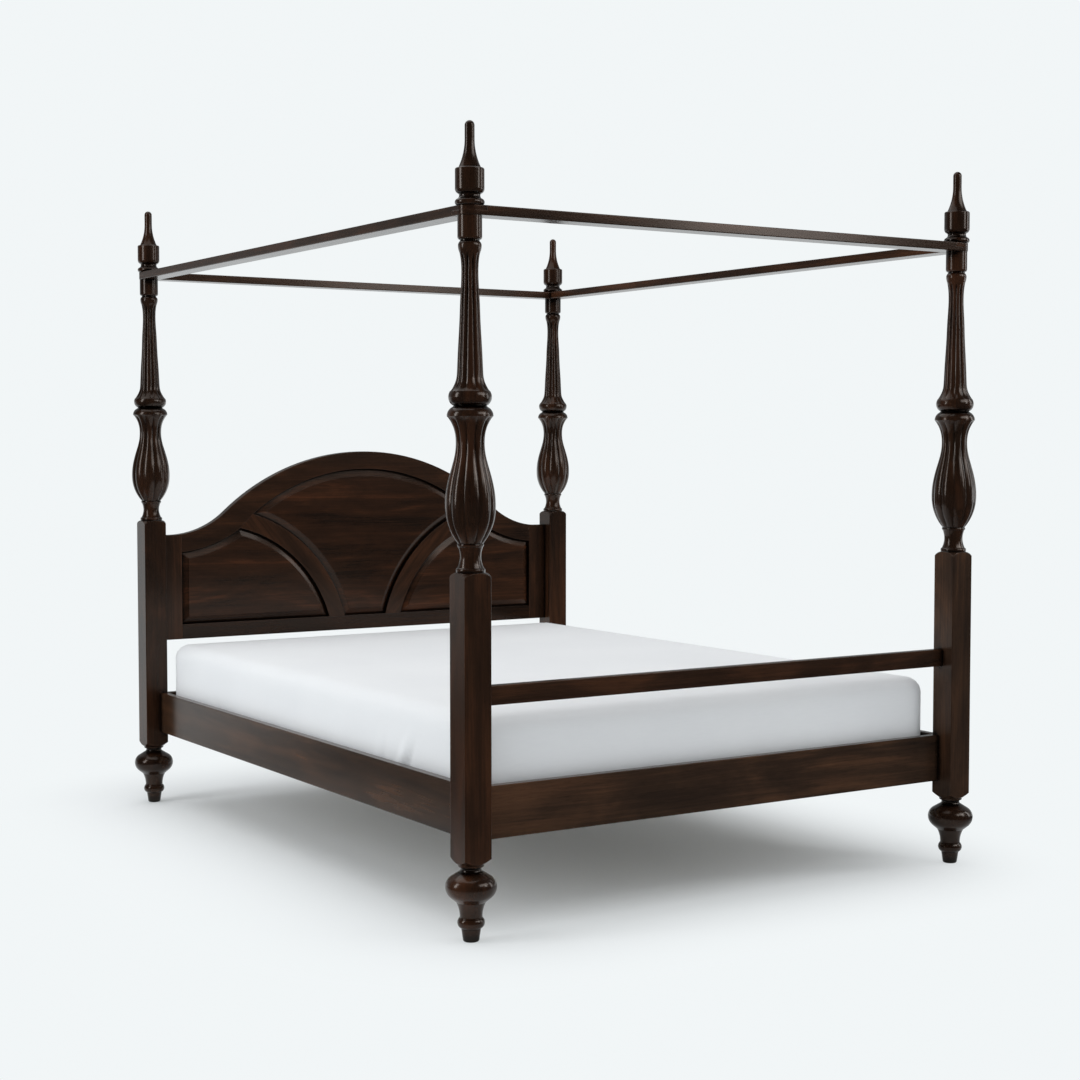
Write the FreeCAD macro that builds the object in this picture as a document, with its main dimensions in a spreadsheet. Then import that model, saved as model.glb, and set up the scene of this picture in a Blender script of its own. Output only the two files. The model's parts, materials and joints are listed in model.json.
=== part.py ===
"""Four-poster canopy bed, in millimetres.

The origin is on the floor at the centre of the four posts, +X runs across the bed to its right side
(seen from the foot), +Y runs towards the head and +Z is up.
"""
import FreeCAD, Part
import math
import os

Vector = FreeCAD.Vector

# Driving sizes of the bed, each set by itself
SIZES = {
    # mattress, and the room round it between the posts, which sets the plan of the bed
    "mattress_width": 1524,
    "mattress_length": 2032,
    "mattress_height": 249,
    "mattress_side_room": 9,
    "mattress_end_room": 12.5,
    "mattress_gap": 0.3,
    "mattress_corner": 40,
    "mattress_draw": 3,
    "mattress_waist": 1.5,
    "mattress_top_round": 48,
    "mattress_low_round": 20,
    "mattress_crown": 9,
    "mattress_steps": 4,
    # square stock of the posts, and the share of their height that the turnings keep on the head posts
    "leg_size": 75,
    "leg_height": 720,
    "leg_toe_radius": 32,
    "leg_toe_rise": 4,
    "leg_low_shoulder": 16,
    "leg_top_radius": 35.6,
    "leg_top_shoulder": 13,
    "leg_top_bulge": 2.6,
    "head_turning_share": 0.94,
    "edge_ease": 2,
    # clearances: glued or driven joints, pieces that lift apart, and tongues in their grooves
    "pin_gap": 0.15,
    "lift_gap": 0.4,
    "tongue_gap": 0.2,
    # what joins the pieces of a post
    "bolt_radius": 5,
    "bolt_depth": 65,
    "dowel_radius": 12.5,
    "dowel_depth": 42,
    "socket_spare": 2,
    "pin_radius": 6,
    "pin_depth": 60,
    "pin_reach": 40,
    # lobes of the vase and reeds of the shaft
    "lobe_count": 10,
    "lobe_depth": 3.8,
    "reed_depth": 3,
    "lobe_fade": 10,
    "reed_fade": 10,
    "reed_start_drop": 46,
    # low rails
    "rail_bottom": 241.5,
    "rail_height": 133.5,
    "rail_thickness": 24,
    # foot crossbar
    "bar_bottom": 577,
    "bar_height": 49,
    "bar_thickness": 24,
    "bar_setback": 0,
    "bar_tenon_radius": 9,
    "bar_tenon_length": 24,
    # hook plates and the pins they hang on
    "hook_thickness": 4,
    "hook_bury": 34,
    "hook_reach": 9.4,
    "hook_over_pin": 9,
    "hook_under_pin": 6,
    "hook_edge": 12,
    "hook_first": 46,
    "hook_last": 29.5,
    "hook_stagger": 16,
    "hook_drop": 8,
    "hook_pin_radius": 2.5,
    "hook_pin_length": 20,
    "hook_pin_inset": 4.8,
    "rail_pin_inset": 18,
    # headboard
    "head_setback": 0,
    "head_thickness": 32,
    "head_bottom": 549.5,
    "head_shoulder_rise": 357.5,
    "head_crown_rise": 282.5,
    "crown_share": 0.727,
    "shoulder_flat": 33,
    "stile_width": 70,
    "head_rail_height": 50.3,
    "top_band": 61,
    "peak_band": 78.8,
    "peak_reach": 253.4,
    "crown_band": 62,
    "centre_top_radius": 696,
    "mullion_width": 58.8,
    "mullion_foot_x": 143.5,
    "mullion_centre_reach": 147,
    "stile_tongue_depth": 18,
    "stile_tongue_thickness": 12,
    "stile_tongue_end": 25,
    "head_dowel_radius": 6,
    "head_dowel_half": 24,
    # raised panels
    "groove_depth": 10,
    "groove_setback": 12,
    "panel_tongue": 8,
    "panel_float": 2,
    "bevel_width": 25,
    "field_step": 1.2,
    "field_setback": 1.5,
    # ledgers, bearer, saddles, slats and their screws
    "slat_count": 13,
    "slat_width": 70,
    "slat_thickness": 18,
    "slat_end_gap": 3,
    "slat_margin": 24,
    "ledger_lift": 2.5,
    "ledger_width": 25,
    "ledger_height": 28,
    "ledger_end_gap": 2,
    "bearer_width": 60,
    "bearer_height": 26,
    "saddle_plate": 3,
    "saddle_depth": 45,
    "saddle_screw_x": 16,
    "screw_radius": 2.2,
    "screw_head_radius": 4.5,
    "screw_head_rise": 2.6,
    "screw_length": 36,
    "saddle_screw_length": 14,
    "ledger_screw_count": 6,
    "ledger_screw_end": 120,
    # canopy frame
    "canopy_width": 63,
    "canopy_thickness": 24.3,
}

# Turned pieces, from the bottom up: name of the element, its curve, its rise and the radius it ends at.
# "swell" ends upright, "fall" starts upright, and "ogee" does both, with the turn at the share given last.
TURNINGS = {
    "bun": (15, [
        ("toe", "swell", 5.5, 20.5),
        ("ankle", "line", 27.5, 24.6),
        ("bead_low", "swell", 14.4, 34),
        ("bead_top", "fall", 12, 28.6),
        ("cove_low", "swell", 3, 28),
        ("cove_top", "fall", 36.1, 37.2),
        ("ball_foot", "line", 12.5, 52.2),
        ("ball_low", "swell", 25.5, 63.8),
        ("ball_top", "fall", 25, 49.8),
        ("ball_shoulder", "line", 13, 28.6),
        ("neck_low", "swell", 6, 25.4),
        ("neck_top", "fall", 4.5, 28.4),
        ("collar_low", "line", 0.5, 29.8),
        ("collar_top", "line", 1.5, 29.8),
    ]),
    "vase": (35.6, [
        ("base_low", "swell", 6, 36.2),
        ("base_top", "fall", 6, 32.2),
        ("waist_low", "swell", 27, 26),
        ("waist_top", "fall", 23.8, 30.7),
        ("ring_low", "swell", 4, 33.1),
        ("ring_top", "fall", 4, 31.2),
        ("belly", "swell", 88, 63),
        ("throat", "ogee", 161.2, 36, 0.55),
        ("flare", "fall", 59.2, 56.8),
        ("rim", "fall", 22, 44),
        ("cap", "line", 3, 40),
    ]),
    "shaft": (40, [
        ("base_low", "swell", 21, 53),
        ("base_top", "ogee", 60, 32.5, 0.28),
        ("taper", "line", 215, 21.8),
        ("waist", "swell", 32.7, 21.2),
        ("flare", "fall", 40, 25.4),
        ("ring_low", "swell", 16.6, 28.6),
        ("ring_top", "fall", 9.5, 24.8),
        ("groove_low", "line", 1.5, 23.6),
        ("groove_top", "line", 2.5, 23.6),
        ("drum_low", "swell", 6.5, 29.9),
        ("drum", "line", 51.3, 29.9),
    ]),
    "finial": (29.7, [
        ("bead_low", "swell", 7.5, 36.1),
        ("bead_top", "fall", 8.5, 29.7),
        ("cove_low", "swell", 7.8, 25.7),
        ("cove_top", "fall", 5.7, 30.1),
        ("urn_low", "swell", 10, 35.6),
        ("urn", "line", 46, 35.6),
        ("shoulder_round", "fall", 4, 32.7),
        ("shoulder", "line", 1.5, 27.4),
        ("spire_low", "swell", 68, 12),
        ("spire", "line", 32.4, 12),
    ]),
}

CORNERS = {
    "foot_left": (-1, -1),
    "foot_right": (1, -1),
    "head_left": (-1, 1),
    "head_right": (1, 1),
}

doc = FreeCAD.newDocument("canopy_bed")
sheet = doc.addObject("Spreadsheet::Sheet", "dims")


class Size:
    """A length known as a number and as the expression that ties it to the sheet."""

    def __init__(self, value, text):
        self.value = float(value)
        self.text = text

    def __float__(self):
        return self.value

    def __add__(self, other):
        other = as_size(other)
        return Size(self.value + other.value, f"({self.text} + {other.text})")

    def __sub__(self, other):
        other = as_size(other)
        return Size(self.value - other.value, f"({self.text} - {other.text})")

    def __mul__(self, other):
        other = as_size(other)
        return Size(self.value * other.value, f"({self.text} * {other.text})")

    def __truediv__(self, other):
        other = as_size(other)
        return Size(self.value / other.value, f"({self.text} / {other.text})")

    def __radd__(self, other):
        return as_size(other) + self

    def __rsub__(self, other):
        return as_size(other) - self

    def __rmul__(self, other):
        return as_size(other) * self

    def __neg__(self):
        return Size(-self.value, f"(-1 * {self.text})")


def as_size(number):
    return number if isinstance(number, Size) else Size(number, repr(float(number)))


def put_in_sheet():
    """Writes every driving size to its own cell and names the cell."""
    rows = dict(SIZES)
    for piece, (start, elements) in TURNINGS.items():
        rows[f"{piece}_start_radius"] = start
        for name, curve, rise, radius, *share in elements:
            rows[f"{piece}_{name}_rise"] = rise
            rows[f"{piece}_{name}_radius"] = radius
            if share:
                rows[f"{piece}_{name}_share"] = share[0]
    for row, (alias, number) in enumerate(rows.items(), start=1):
        sheet.set(f"A{row}", alias)
        sheet.set(f"B{row}", str(number))
        sheet.setAlias(f"B{row}", alias)
    doc.recompute()


def size(alias):
    return Size(sheet.get(alias), f"dims.{alias}")


put_in_sheet()
LEG = size("leg_size")
HALF_X = (size("mattress_width") + size("mattress_side_room") * 2 + LEG) / 2
HALF_Y = (size("mattress_length") + size("mattress_end_room") * 2 + LEG) / 2
PIN_GAP = size("pin_gap")
TURNING_SHARES = {"foot": as_size(1), "head": size("head_turning_share")}
TOUCH = 1e-6


# General helpers


def bind(item, prop, length):
    item.setExpression(prop, as_size(length).text)


def place(item, x, y, z):
    bind(item, ".Placement.Base.x", x)
    bind(item, ".Placement.Base.y", y)
    bind(item, ".Placement.Base.z", z)


def box(name, p, q):
    """A block between two opposite corners."""
    item = doc.addObject("Part::Box", name)
    low = [min(pair, key=float) for pair in zip(p, q)]
    high = [max(pair, key=float) for pair in zip(p, q)]
    for prop, start, end in zip(("Length", "Width", "Height"), low, high):
        bind(item, prop, end - start)
    place(item, *low)
    return item


def rod(name, start, axis, radius, length):
    """A round rod from its start point along an axis."""
    item = doc.addObject("Part::Cylinder", name)
    bind(item, "Radius", radius)
    bind(item, "Height", length)
    item.Placement = FreeCAD.Placement(Vector(), FreeCAD.Rotation(Vector(0, 0, 1), Vector(*axis)))
    place(item, *start)
    return item


def group(name, items):
    item = doc.addObject("Part::Compound", name)
    item.Links = items
    return item


def cut(name, base, tools):
    item = doc.addObject("Part::Cut", name)
    item.Base = base
    item.Tool = tools[0] if len(tools) == 1 else group(name + "_tools", tools)
    return item


def copy_of(name, master, position, rotation=FreeCAD.Rotation()):
    """One more piece made to the same pattern, at its own place."""
    item = doc.addObject("Part::Feature", name)
    item.Shape = master.Shape.copy()
    item.Placement = FreeCAD.Placement(Vector(), rotation)
    place(item, *position)
    return item


def new_body(name):
    return doc.addObject("PartDesign::Body", name)


def sketch(body, role, edges, offset=0):
    """A sketch of finished edges on one of the body's own planes, moved along the plane's normal."""
    item = body.newObject("Sketcher::SketchObject", body.Name + "_sketch")
    plane = next(feature for feature in body.Origin.OriginFeatures if feature.Role == role)
    item.AttachmentSupport = [(plane, "")]
    item.MapMode = "FlatFace"
    bind(item, ".AttachmentOffset.Base.z", offset)
    item.addGeometry(edges, False)
    return item


def pad(body, profile, length, reverse=False):
    item = body.newObject("PartDesign::Pad", body.Name + "_pad")
    item.Profile = profile
    item.Reversed = reverse
    bind(item, "Length", length)
    return item


def turn(body, kind, edges):
    """Revolves a closed profile about the body's Z axis, to add (Revolution) or to cut (Groove)."""
    profile = sketch(body, "XZ_Plane", edges)
    item = body.newObject("PartDesign::" + kind, body.Name + "_" + kind.lower())
    item.Profile = profile
    item.ReferenceAxis = (profile, ["V_Axis"])
    item.Angle = 360
    return item


def loft(body, sections, ruled):
    item = body.newObject("PartDesign::AdditiveLoft", body.Name + "_loft")
    item.Profile = sections[0]
    item.Sections = sections[1:]
    item.Ruled = ruled
    return item


def eased_board(name, p, q):
    """A board whose long edges are softened."""
    board = box(name + "_sawn", p, q)
    doc.recompute()
    longest = max(edge.Length for edge in board.Shape.Edges)
    ease = float(size("edge_ease"))
    item = doc.addObject("Part::Fillet", name)
    item.Base = board
    item.Edges = [
        (k, ease, ease)
        for k, edge in enumerate(board.Shape.Edges, start=1)
        if edge.Length > longest - TOUCH
    ]
    return item


def ease_edges(body, wanted):
    """Softens those edges of a body that the test picks."""
    doc.recompute()
    base = body.Tip
    names = [f"Edge{k}" for k, edge in enumerate(base.Shape.Edges, start=1) if wanted(edge)]
    item = body.newObject("PartDesign::Fillet", body.Name + "_ease")
    item.Base = (base, names)
    bind(item, "Radius", size("edge_ease"))


def flat(point):
    return Vector(float(point[0]), float(point[1]), 0)


def line(p, q):
    return Part.LineSegment(flat(p), flat(q))


def polygon(points):
    return [line(p, q) for p, q in zip(points, points[1:] + points[:1])]


def rounded_rectangle(half_x, half_y, corner, draw=0.0):
    """Rectangle about the origin with round corners, whose sides may be drawn in at their middles."""
    edges = []
    turns = [(1, 1), (-1, 1), (-1, -1), (1, -1)]
    for k, (a, b) in enumerate(turns):
        centre = Vector(a * (half_x - corner), b * (half_y - corner), 0)
        first, last = (Vector(a, 0, 0), Vector(0, b, 0)) if a == b else (Vector(0, b, 0), Vector(a, 0, 0))
        start, end = centre + first * corner, centre + last * corner
        edges.append(arc(centre, start, end))
        c, d = turns[(k + 1) % len(turns)]
        following = Vector(c * (half_x - corner), d * (half_y - corner), 0) + last * corner
        if draw:
            edges.append(Part.ArcOfCircle(end, (end + following) / 2 - last * draw, following))
        else:
            edges.append(line(end, following))
    return edges


def arc(centre, p, q):
    """The shorter arc from p to q about a centre."""
    middle = (flat(p) + flat(q)) / 2 - flat(centre)
    radius = (flat(p) - flat(centre)).Length
    return Part.ArcOfCircle(flat(p), flat(centre) + middle.normalize() * radius, flat(q))


# Turned work


def tangent_arc(upright, end):
    """Radius of the arc that leaves one (radius, level) point upright and reaches another."""
    across = abs(end[0] - upright[0])
    rise = end[1] - upright[1]
    return (across ** 2 + rise ** 2) / (2 * across)


def turned_edge(curve, start, end):
    if curve == "line" or abs(end[0] - start[0]) < TOUCH:
        return line(start, end)
    upright, other = (end, start) if curve == "swell" else (start, end)
    radius = tangent_arc(upright, other)
    side = math.copysign(radius, other[0] - upright[0])
    way = math.copysign(radius, other[1] - upright[1])
    half_turn = math.atan2(abs(other[0] - upright[0]), abs(other[1] - upright[1]))
    middle = (upright[0] + side * (1 - math.cos(half_turn)), upright[1] + way * math.sin(half_turn))
    return Part.ArcOfCircle(flat(start), flat(middle), flat(end))


class Turning:
    """Outline of a turned piece from its foot up; its rises may be drawn shorter, each to the same share."""

    def __init__(self, piece, share=1):
        self.piece = piece
        self.share = as_size(share)
        self.names = [element[0] for element in TURNINGS[piece][1]]
        self.spans = self.find_spans()

    def rise(self, last=None):
        """Level at which an element ends, or the height of the whole piece."""
        names = self.names[:self.names.index(last) + 1] if last else self.names
        total = size(f"{self.piece}_{names[0]}_rise")
        for name in names[1:]:
            total = total + size(f"{self.piece}_{name}_rise")
        return total * self.share

    def find_spans(self):
        """The outline as (curve, start, end), with points given as (radius, level)."""
        point = (float(size(f"{self.piece}_start_radius")), 0.0)
        spans = []
        for name, curve, *_ in TURNINGS[self.piece][1]:
            end = (float(size(f"{self.piece}_{name}_radius")), float(self.rise(name)))
            if curve == "ogee":
                share = float(size(f"{self.piece}_{name}_share"))
                turn_point = tuple(a + (b - a) * share for a, b in zip(point, end))
                spans.append(("fall", point, turn_point))
                spans.append(("swell", turn_point, end))
            else:
                spans.append((curve, point, end))
            point = end
        return spans

    def radius(self, level):
        """Outer radius at a level."""
        curve, start, end = next(span for span in self.spans if level <= span[2][1] + TOUCH)
        if curve == "line":
            return start[0] + (end[0] - start[0]) * (level - start[1]) / (end[1] - start[1])
        upright, other = (end, start) if curve == "swell" else (start, end)
        bend = tangent_arc(upright, other)
        side = math.copysign(1, other[0] - upright[0])
        return upright[0] + side * (bend - math.sqrt(bend ** 2 - (level - upright[1]) ** 2))

    def profile(self, low, high, domed=False):
        """Closed half outline between two levels at which elements meet, with a flat or a half-ball top."""
        spans = [s for s in self.spans if s[1][1] >= low - TOUCH and s[2][1] <= high + TOUCH]
        edges = [turned_edge(*span) for span in spans]
        foot, top = spans[0][1], spans[-1][2]
        peak = (0, top[1] + top[0]) if domed else (0, top[1])
        edges.append(arc((0, top[1]), top, peak) if domed else line(top, peak))
        edges.append(line(peak, (0, foot[1])))
        edges.append(line((0, foot[1]), foot))
        return edges

    def stub(self, high):
        """Closed half outline of the foot, cut off part way up one of its curves."""
        whole = [span for span in self.spans if span[2][1] < high]
        start = whole[-1][2]
        half_way = (start[1] + high) / 2
        top = (self.radius(high), high)
        foot = self.spans[0][1]
        edges = [turned_edge(*span) for span in whole]
        edges.append(Part.ArcOfCircle(flat(start), flat((self.radius(half_way), half_way)), flat(top)))
        edges.append(line(top, (0, high)))
        edges.append(line((0, high), (0, foot[1])))
        edges.append(line((0, foot[1]), foot))
        return edges


def socket(body, radius, low, high):
    """A round hole on the axis of a turned piece."""
    radius, low, high = float(radius), float(low), float(high)
    turn(body, "Groove", polygon([(0, low), (radius, low), (radius, high), (0, high)]))


def scalloped(radius, depth):
    """A ring of convex lobes that meet in sharp creases, one of which lies on the post's diagonal."""
    count = int(float(size("lobe_count")))

    def polar(step, reach):
        angle = math.pi / 4 + 2 * math.pi * step / count
        return Vector(reach * math.cos(angle), reach * math.sin(angle), 0)

    return [
        Part.ArcOfCircle(polar(k, radius - depth), polar(k + 0.5, radius), polar(k + 1, radius - depth))
        for k in range(count)
    ]


def lobed_part(body, turning, levels, depth, fade):
    """Lofts the lobed stretch of a turned piece; the creases fade out towards both of its ends."""
    low, high = levels[0], levels[-1]
    sections = []
    for level in levels:
        radius = turning.radius(level)
        strength = min(1.0, (level - low) / fade, (high - level) / fade)
        sections.append(sketch(body, "XY_Plane", scalloped(radius, depth * strength), level))
    loft(body, sections, ruled=False)


def spread(low, high, count):
    return [low + (high - low) * k / count for k in range(count)]


# Turned pieces of a post, and the levels of its joints
BUN = Turning("bun")
VASES = {end: Turning("vase", share) for end, share in TURNING_SHARES.items()}
SHAFTS = {end: Turning("shaft", share) for end, share in TURNING_SHARES.items()}
FINIAL = Turning("finial")
LEG_BASE = BUN.rise()
CANOPY_BASE = LEG_BASE + size("leg_height") + VASES["foot"].rise() + SHAFTS["foot"].rise()
FINIAL_BASE = CANOPY_BASE + size("canopy_thickness")
SHAFT_BASE = {end: CANOPY_BASE - shaft.rise() for end, shaft in SHAFTS.items()}
VASE_BASE = {end: SHAFT_BASE[end] - vase.rise() for end, vase in VASES.items()}


def make_bun():
    body = new_body("bun_pattern")
    height = float(LEG_BASE)
    turn(body, "Revolution", BUN.profile(0, height))
    depth = float(size("bolt_depth") + size("socket_spare"))
    socket(body, size("bolt_radius") + PIN_GAP, height - depth, height)
    return body


def make_vase(end):
    body = new_body(f"{end}_vase_pattern")
    vase = VASES[end]
    height = float(vase.rise())
    foot = float(vase.rise("ring_top"))
    belly = float(vase.rise("belly"))
    neck = float(vase.rise("throat"))
    rim = float(vase.rise("flare"))
    fade = float(size("lobe_fade"))
    levels = [foot] + spread(foot + fade, belly, 3) + spread(belly, neck, 4)
    levels += spread(neck, rim - fade, 2) + [rim - fade, rim]
    turn(body, "Revolution", vase.profile(0, foot))
    lobed_part(body, vase, levels, float(size("lobe_depth")), fade)
    turn(body, "Revolution", vase.profile(rim, height))
    depth = float(size("dowel_depth") + size("socket_spare"))
    radius = size("dowel_radius") + PIN_GAP
    socket(body, radius, 0, depth)
    socket(body, radius, height - depth, height)
    return body


def make_shaft(end):
    body = new_body(f"{end}_shaft_pattern")
    shaft = SHAFTS[end]
    height = float(shaft.rise())
    base = float(shaft.rise("base_top"))
    start = base - float(size("reed_start_drop"))
    taper = float(shaft.rise("taper"))
    waist = float(shaft.rise("waist"))
    stop = float(shaft.rise("flare"))
    fade = float(size("reed_fade"))
    levels = spread(start, base, 4) + [base] + spread(base + fade, taper, 3)
    levels += [taper, waist, stop - fade, stop]
    turn(body, "Revolution", shaft.stub(start))
    lobed_part(body, shaft, levels, float(size("reed_depth")), fade)
    turn(body, "Revolution", shaft.profile(stop, height))
    socket(body, size("dowel_radius") + PIN_GAP, 0, size("dowel_depth") + size("socket_spare"))
    depth = float(size("pin_depth") + size("socket_spare"))
    socket(body, size("pin_radius") + PIN_GAP, height - depth, height)
    return body


def make_finial():
    body = new_body("finial_pattern")
    turn(body, "Revolution", FINIAL.profile(0, float(FINIAL.rise()), domed=True))
    socket(body, size("pin_radius") + size("lift_gap"), 0, size("pin_reach") + size("socket_spare"))
    return body


def end_name(corner):
    return corner.split("_")[0]


def corner_point(corner, z):
    side, end = CORNERS[corner]
    return side * HALF_X, end * HALF_Y, z


def rail_point(corner, kind, along, across):
    """Plan point of a rail's joint: along the rail from the post's face, across it from the post's axis."""
    side, end = CORNERS[corner]
    reach = LEG / 2 + along
    if kind == "side":
        return side * (HALF_X - across), end * (HALF_Y - reach)
    return side * (HALF_X - reach), end * (HALF_Y - across)


def rail_box(name, corner, kind, along, across, levels):
    p = rail_point(corner, kind, along[0], across[0]) + (levels[0],)
    q = rail_point(corner, kind, along[1], across[1]) + (levels[1],)
    return box(name, p, q)


# Low rails hang on hook plates

RAIL_TOP = size("rail_bottom") + size("rail_height")
RAIL_MID = LEG / 2 - size("rail_thickness") / 2
HOOK_PITCH = size("rail_height") - size("hook_first") - size("hook_last")


def hook_levels(kind):
    """Levels of a joint's two post pins, lower on the end rails, so that pins of both joints pass."""
    first = size("rail_bottom") + size("hook_first")
    if kind == "end":
        first = first - size("hook_stagger")
    return [first, first + HOOK_PITCH]


def hook_plate():
    """Flat plate with two hooks; X along the rail into the post, Y up from the lower pin, thick about Z."""
    body = new_body("hook_pattern")
    bury = -float(size("hook_bury"))
    reach = float(size("hook_reach"))
    over = float(size("hook_over_pin"))
    under = -float(size("hook_under_pin"))
    pitch = float(HOOK_PITCH)
    edge = float(size("hook_edge"))
    inset = float(size("hook_pin_inset"))
    notch = float(size("hook_pin_radius") + PIN_GAP)
    points = [(bury, under - edge), (0, under - edge)]
    edges = [line(*points)]
    last = points[-1]
    for level in (0, pitch):
        outline = [(0, level + under), (inset - notch, level + under), (inset - notch, level)]
        for p, q in zip([last] + outline, outline):
            edges.append(line(p, q))
        peak = (inset, level + notch)
        edges.append(Part.ArcOfCircle(flat(outline[-1]), flat(peak), flat((inset + notch, level))))
        outline = [(inset + notch, level), (inset + notch, level + under), (reach, level + under)]
        outline += [(reach, level + over), (0, level + over)]
        for p, q in zip(outline, outline[1:]):
            edges.append(line(p, q))
        last = outline[-1]
    top = [last, (0, pitch + over + edge), (bury, pitch + over + edge), points[0]]
    for p, q in zip(top, top[1:]):
        edges.append(line(p, q))
    plate = pad(body, sketch(body, "XY_Plane", edges), size("hook_thickness"))
    plate.Midplane = True
    hole_x = -float(size("rail_pin_inset"))
    holes = [Part.Circle(Vector(hole_x, level, 0), Vector(0, 0, 1), notch) for level in (0, pitch)]
    bores = body.newObject("PartDesign::Pocket", "hook_pattern_bores")
    bores.Profile = sketch(body, "XY_Plane", holes)
    bores.Type = 1
    bores.Midplane = True
    return body


def hook_rotation(corner, kind):
    """Turns the hook plate's X towards the post and its Y up."""
    side, end = CORNERS[corner]
    towards_post = Vector(0, end, 0) if kind == "side" else Vector(side, 0, 0)
    up = Vector(0, 0, 1)
    return FreeCAD.Rotation(towards_post, up, towards_post.cross(up), "XYZ")


def hook_pin(name, corner, kind, along, level, radius):
    """A pin across a joint, driven from the rail's inner face."""
    side, end = CORNERS[corner]
    x, y = rail_point(corner, kind, along, LEG / 2)
    axis = (side, 0, 0) if kind == "side" else (0, end, 0)
    return rod(name, (x, y, level), axis, radius, size("hook_pin_length"))


def pin_places(kind):
    """(distance along the rail from the post's face, level) of a joint's pins in the post and in the rail."""
    levels = hook_levels(kind)
    post = [(-size("hook_pin_inset"), level) for level in levels]
    rail = [(size("rail_pin_inset"), level) for level in levels]
    return post, rail


def hook_slots(corner, kind):
    """Slots and pin holes that a post has for one rail."""
    half = size("hook_thickness") / 2 + PIN_GAP
    across = (RAIL_MID - half, RAIL_MID + half)
    along = (-size("hook_reach") - size("tongue_gap"), as_size(0))
    tools = []
    for level in hook_levels(kind):
        low = level - size("hook_under_pin") - size("tongue_gap")
        high = level + size("hook_over_pin") + size("hook_drop")
        tools.append(rail_box(f"{corner}_{kind}_slot", corner, kind, along, across, (low, high)))
    for place_along, level in pin_places(kind)[0]:
        tools.append(hook_pin(f"{corner}_{kind}_hole", corner, kind, place_along, level,
                              size("hook_pin_radius") + PIN_GAP))
    return tools


def rail_kerf(corner, kind):
    """Kerf and pin holes in the end of a rail."""
    half = size("hook_thickness") / 2 + PIN_GAP
    across = (RAIL_MID - half, RAIL_MID + half)
    levels = hook_levels(kind)
    low = levels[0] - size("hook_under_pin") - size("hook_edge") - PIN_GAP
    high = levels[1] + size("hook_over_pin") + size("hook_edge") + PIN_GAP
    along = (as_size(0), size("hook_bury") + PIN_GAP)
    tools = [rail_box(f"{corner}_{kind}_kerf", corner, kind, along, across, (low, high))]
    for place_along, level in pin_places(kind)[1]:
        tools.append(hook_pin(f"{corner}_{kind}_hole", corner, kind, place_along, level,
                              size("hook_pin_radius") + PIN_GAP))
    return tools


# Deck levels
SLAT_BOTTOM = size("rail_bottom") + size("ledger_lift") + size("ledger_height")
SLAT_TOP = SLAT_BOTTOM + size("slat_thickness")
BEARER_BOTTOM = SLAT_BOTTOM - size("bearer_height")
LEDGER_MID = SLAT_BOTTOM - size("ledger_height") / 2
BEARER_MID = SLAT_BOTTOM - size("bearer_height") / 2
INNER_X = HALF_X - LEG / 2
INNER_Y = HALF_Y - LEG / 2


def screw_pattern(name, length, grow):
    """Countersunk screw along +Z, with its head's face at the origin; grown, it is the hole for it."""
    body = new_body(name)
    grow = float(grow)
    head = float(size("screw_head_radius")) + grow
    shank = float(size("screw_radius")) + grow
    rise = float(size("screw_head_rise"))
    tip = float(length) + grow
    turn(body, "Revolution", polygon([(0, 0), (head, 0), (shank, rise), (shank, tip), (0, tip)]))
    return body


def ledger_screw_places(side):
    """Heads of the screws in one ledger, with the way they point."""
    count = int(float(size("ledger_screw_count")))
    end = INNER_Y - size("ledger_screw_end")
    step = end * 2 / (count - 1)
    x = side * (INNER_X - size("ledger_width"))
    return [((x, step * k - end, LEDGER_MID), (side, 0, 0)) for k in range(count)]


def saddle_screw_places(end):
    y = end * (INNER_Y - size("saddle_plate"))
    return [((size("saddle_screw_x") * side, y, BEARER_MID), (0, end, 0)) for side in (-1, 1)]


def screws(name, pattern, places):
    up = Vector(0, 0, 1)
    return [copy_of(name, pattern, at, FreeCAD.Rotation(up, Vector(*axis))) for at, axis in places]


# Headboard outline, in X and Z from the bed's middle line


def meet_circles(c1, r1, c2, r2, near):
    """The crossing of two circles that lies nearer to a point."""
    between = flat(c2) - flat(c1)
    gap = between.Length
    forward = (r1 ** 2 - r2 ** 2 + gap ** 2) / (2 * gap)
    sideways = math.sqrt(r1 ** 2 - forward ** 2)
    along = between.normalize()
    normal = Vector(-along.y, along.x, 0)
    base = flat(c1) + along * forward
    pick = min((base + normal * sideways, base - normal * sideways), key=lambda p: (p - flat(near)).Length)
    return pick.x, pick.y


def mirrored(point):
    return -point[0], point[1]


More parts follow.
